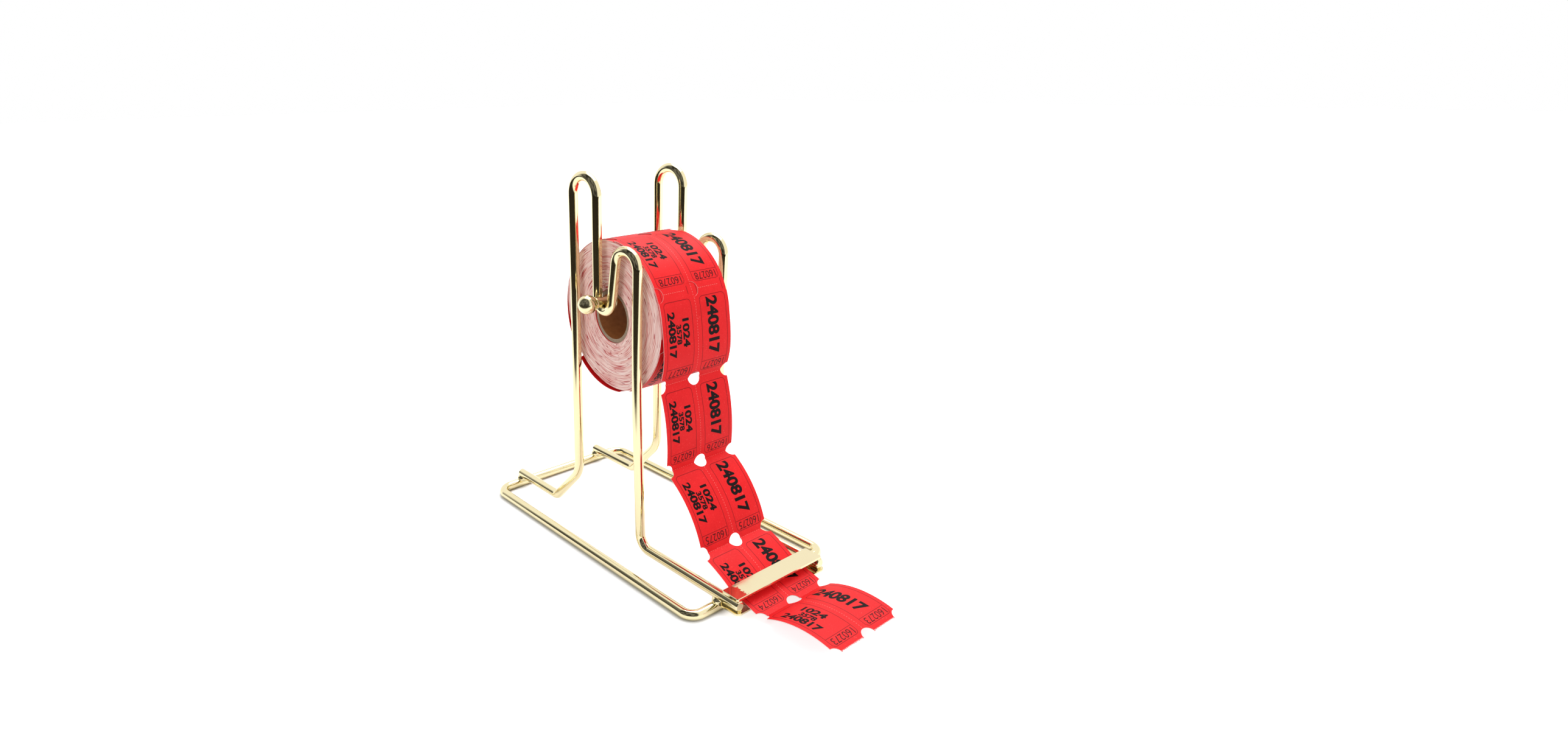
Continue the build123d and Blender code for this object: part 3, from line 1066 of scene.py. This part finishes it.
for number, (name, surface, top, bottom, ends, body, stands_for) in zip(numbers, strip):
    ticket_sheet(name, surface, top, bottom, ends, body, stands_for)
    ticket_print(name + "_print", surface, top, bottom, body, str(number))

# Pale fibres pulled out of the card along the torn end, longest on the side that tore last.
FIBRES = 110
FIBRE_W = 0.1
FIBRE_LOW = 0.1
FIBRE_HIGH = 0.2
FIBRE_TIP = 0.12
SHORTEST = 0.4
LONGER_BY = 0.75
STRAY = 0.6
fibre_root = TICKET - 2 * TOOTH - 0.1
fibres = bmesh.new()
for half in (-1, 1):
    for i in range(FIBRES):
        u = half * (PUNCH_R + (HALF - 2 * PUNCH_R) * i / (FIBRES - 1))
        tuft = noise.noise((u * 0.9, 7.3, 0)) + 0.5 * noise.noise((i * 3.7, half, 1.1))
        length = SHORTEST + LONGER_BY * min(max(tuft + 0.2 + 0.2 * half, 0.0), 1.0)
        stray = STRAY * noise.noise((i * 5.3, half, 2.9))
        corners = [
            (u - FIBRE_W, fibre_root, FIBRE_LOW),
            (u + FIBRE_W, fibre_root, FIBRE_LOW),
            (u, fibre_root, FIBRE_HIGH),
            (u + stray, fibre_root + length, FIBRE_TIP),
        ]
        points = [fibres.verts.new(corner) for corner in corners]
        for side in ((0, 1, 2), (0, 1, 3), (1, 2, 3), (2, 0, 3)):
            fibres.faces.new([points[k] for k in side])
bmesh.ops.recalc_face_normals(fibres, faces=fibres.faces)
lay(fibres, end_surface, TICKET - 2, TICKET)
place_piece("torn_fibres", fibres, [torn_fibre], "end_ticket", sharp=pi)

# ------------------------------------------------------------------ stage
# A white counter that goes on into a white room behind, seen from a darker room on the left,
# which polished metal shows as a dark streak. The lamps and the sky are soft.
COUNTER_REACH = 8.0
SHADE_REACH = 5
COUNTER_TO_ROOM = (-0.95, -0.31, 0)
SKY_TO_ROOM = (-0.93, -0.2, 0.3)
floor_mesh = bpy.data.meshes.new("counter_top")
floor_bm = bmesh.new()
bmesh.ops.create_grid(floor_bm, x_segments=1, y_segments=1, size=COUNTER_REACH)
floor_bm.to_mesh(floor_mesh)
floor_bm.free()
floor = bpy.data.objects.new("counter_top", floor_mesh)
bpy.context.scene.collection.objects.link(floor)
white_top, tree, shader = new_material(
    "white_counter_top", {"Base Color": linear("#DADADA"), "Roughness": 0.9}
)
place = add_node(tree, "ShaderNodeTexCoord").outputs["Object"]
ray = add_node(tree, "ShaderNodeLightPath").outputs

# The counter glows to white where it is seen, more so away from the stand and less close under
# the wires, where ambient occlusion cuts the glow into a painted contact shade, so the stand keeps
# its soft shadow.
from_middle = add_node(tree, "ShaderNodeVectorMath", {"operation": "LENGTH"}, {0: place})
near = add_node(
    tree, "ShaderNodeMapRange", {"To Min": 0.32, "To Max": 0.76}, {"Value": ray["Is Camera Ray"]}
)
far = add_node(
    tree,
    "ShaderNodeMapRange",
    {"From Min": 0.3, "From Max": 1.6, "To Max": 1.0},
    {"Value": from_middle.outputs["Value"], "To Min": near.outputs["Result"]},
)
# Ambient occlusion within a few millimetres of the wires dims the glow: a painted contact shade.
open_sky = add_node(tree, "ShaderNodeAmbientOcclusion", {"samples": 8, "Distance": SHADE_REACH * MM})
painted_contact_shade = add_node(
    tree,
    "ShaderNodeMapRange",
    {"From Min": 0.35, "From Max": 0.95},
    {"Value": open_sky.outputs["AO"]},
)
lit = add_node(
    tree,
    "ShaderNodeMath",
    {"operation": "MULTIPLY"},
    {0: far.outputs["Result"], 1: painted_contact_shade.outputs["Result"]},
)
seen = add_node(
    tree,
    "ShaderNodeMath",
    {"operation": "MAXIMUM"},
    {0: ray["Is Camera Ray"], 1: ray["Is Glossy Ray"]},
)
seen_all = add_node(
    tree,
    "ShaderNodeMath",
    {"operation": "MAXIMUM"},
    {0: seen.outputs["Value"], 1: ray["Is Transmission Ray"]},
)
glow = add_node(
    tree,
    "ShaderNodeMath",
    {"operation": "MULTIPLY"},
    {0: lit.outputs["Value"], 1: seen_all.outputs["Value"]},
)
tree.links.new(glow.outputs["Value"], shader.inputs["Emission Strength"])
shader.inputs["Emission Color"].default_value = (1, 1, 1, 1)

# Past its edge on the left, polished metal sees the darker room in place of the counter.
to_room = add_node(
    tree,
    "ShaderNodeVectorMath",
    {"operation": "DOT_PRODUCT", 1: COUNTER_TO_ROOM},
    {0: place},
)
edge = add_node(
    tree,
    "ShaderNodeMapRange",
    {"From Min": 0.24, "From Max": 0.30},
    {"Value": to_room.outputs["Value"]},
)
off_top = add_node(
    tree,
    "ShaderNodeMath",
    {"operation": "MULTIPLY"},
    {0: edge.outputs["Result"], 1: ray["Is Glossy Ray"]},
)
dark_room = add_node(tree, "ShaderNodeBsdfDiffuse", {"Color": linear("#2A2620")})
choice = add_node(
    tree,
    "ShaderNodeMixShader",
    {},
    {0: off_top.outputs["Value"], 1: shader.outputs["BSDF"], 2: dark_room.outputs["BSDF"]},
)
tree.links.new(choice.outputs["Shader"], tree.nodes["Material Output"].inputs["Surface"])
floor_mesh.materials.append(white_top)

# The white room is plain white where it is seen, and lights the stand evenly. To the left it
# gives way to the dark room, with some clutter in it that only polished metal shows.
world = bpy.data.worlds.new("studio")
bpy.context.scene.world = world
world.use_nodes = True
sky = world.node_tree
way = add_node(sky, "ShaderNodeTexCoord").outputs["Generated"]
leftward = add_node(
    sky,
    "ShaderNodeVectorMath",
    {"operation": "DOT_PRODUCT", 1: SKY_TO_ROOM},
    {0: way},
)
room = add_node(
    sky,
    "ShaderNodeMapRange",
    {"From Min": 0.31, "From Max": 0.47},
    {"Value": leftward.outputs["Value"]},
)
ray = add_node(sky, "ShaderNodeLightPath").outputs
clutter = add_node(sky, "ShaderNodeTexNoise", {"Scale": 3.0, "Detail": 2.0}, {"Vector": way})
room_tone = add_node(
    sky,
    "ShaderNodeMapRange",
    {"From Min": 0.4, "From Max": 0.65, "To Min": 0.02, "To Max": 0.2},
    {"Value": clutter.outputs["Fac"]},
)
shade = add_node(
    sky,
    "ShaderNodeMapRange",
    {"To Min": 0.45},
    {"Value": ray["Is Glossy Ray"], "To Max": room_tone.outputs["Result"]},
)
bright = add_node(
    sky, "ShaderNodeMapRange", {"To Min": 0.75, "To Max": 1.0}, {"Value": ray["Is Glossy Ray"]}
)
level_out = add_node(
    sky,
    "ShaderNodeMapRange",
    {},
    {
        "Value": room.outputs["Result"],
        "To Min": bright.outputs["Result"],
        "To Max": shade.outputs["Result"],
    },
)
plain_white = add_node(
    sky,
    "ShaderNodeMapRange",
    {"To Max": 1.0},
    {"Value": ray["Is Camera Ray"], "To Min": level_out.outputs["Result"]},
)
background = sky.nodes["Background"]
sky.links.new(plain_white.outputs["Result"], background.inputs["Strength"])
background.inputs["Color"].default_value = (1, 1, 1, 1)

STAND_MIDDLE = Vector((0, 0, 0.08))


def soft_lamp(name, place, size, power):
    """A square lamp that points at the middle of the stand."""
    lamp = bpy.data.lights.new(name, "AREA")
    lamp.shape = "SQUARE"
    lamp.size = size
    lamp.energy = power
    holder = bpy.data.objects.new(name, lamp)
    holder.location = place
    way = STAND_MIDDLE - Vector(place)
    holder.rotation_euler = way.to_track_quat("-Z", "Y").to_euler()
    bpy.context.scene.collection.objects.link(holder)
    return holder


soft_lamp("key_lamp", (0.4, 0.22, 1.2), 1.0, 10.5)
soft_lamp("front_lamp", (0.45, -1.2, 0.9), 0.7, 6.5).visible_glossy = False
soft_lamp("side_lamp", (-1.3, -0.1, 0.7), 0.8, 5.6).visible_glossy = False

# The camera stands in front and to the left, a little above the roll.
CAMERA_AT = Vector((-0.31918, -0.38891, 0.27387))
YAW, PITCH, TILT = radians(39.40), radians(16.57), radians(-0.68)
FOCAL_PX, CENTRE_X, CENTRE_Y = 1426.64, 1061.8, 554.29
IMAGE_W, IMAGE_H = 2576, 1229
SENSOR_W = 36.0
forward = Vector((sin(YAW) * cos(PITCH), cos(YAW) * cos(PITCH), -sin(PITCH)))
level = Vector((cos(YAW), -sin(YAW), 0))
upward = level.cross(forward)
right = level * cos(TILT) + upward * sin(TILT)
up = upward * cos(TILT) - level * sin(TILT)
lens = bpy.data.cameras.new("camera")
lens.sensor_width = SENSOR_W
lens.lens = FOCAL_PX / IMAGE_W * SENSOR_W
lens.shift_x = (IMAGE_W / 2 - CENTRE_X) / IMAGE_W
lens.shift_y = (CENTRE_Y - IMAGE_H / 2) / IMAGE_W
camera = bpy.data.objects.new("camera", lens)
aim = Matrix((right, up, -forward)).transposed().to_4x4()
camera.matrix_world = Matrix.Translation(CAMERA_AT) @ aim
bpy.context.scene.collection.objects.link(camera)
bpy.context.scene.camera = camera
bpy.context.scene.view_settings.view_transform = "Standard"
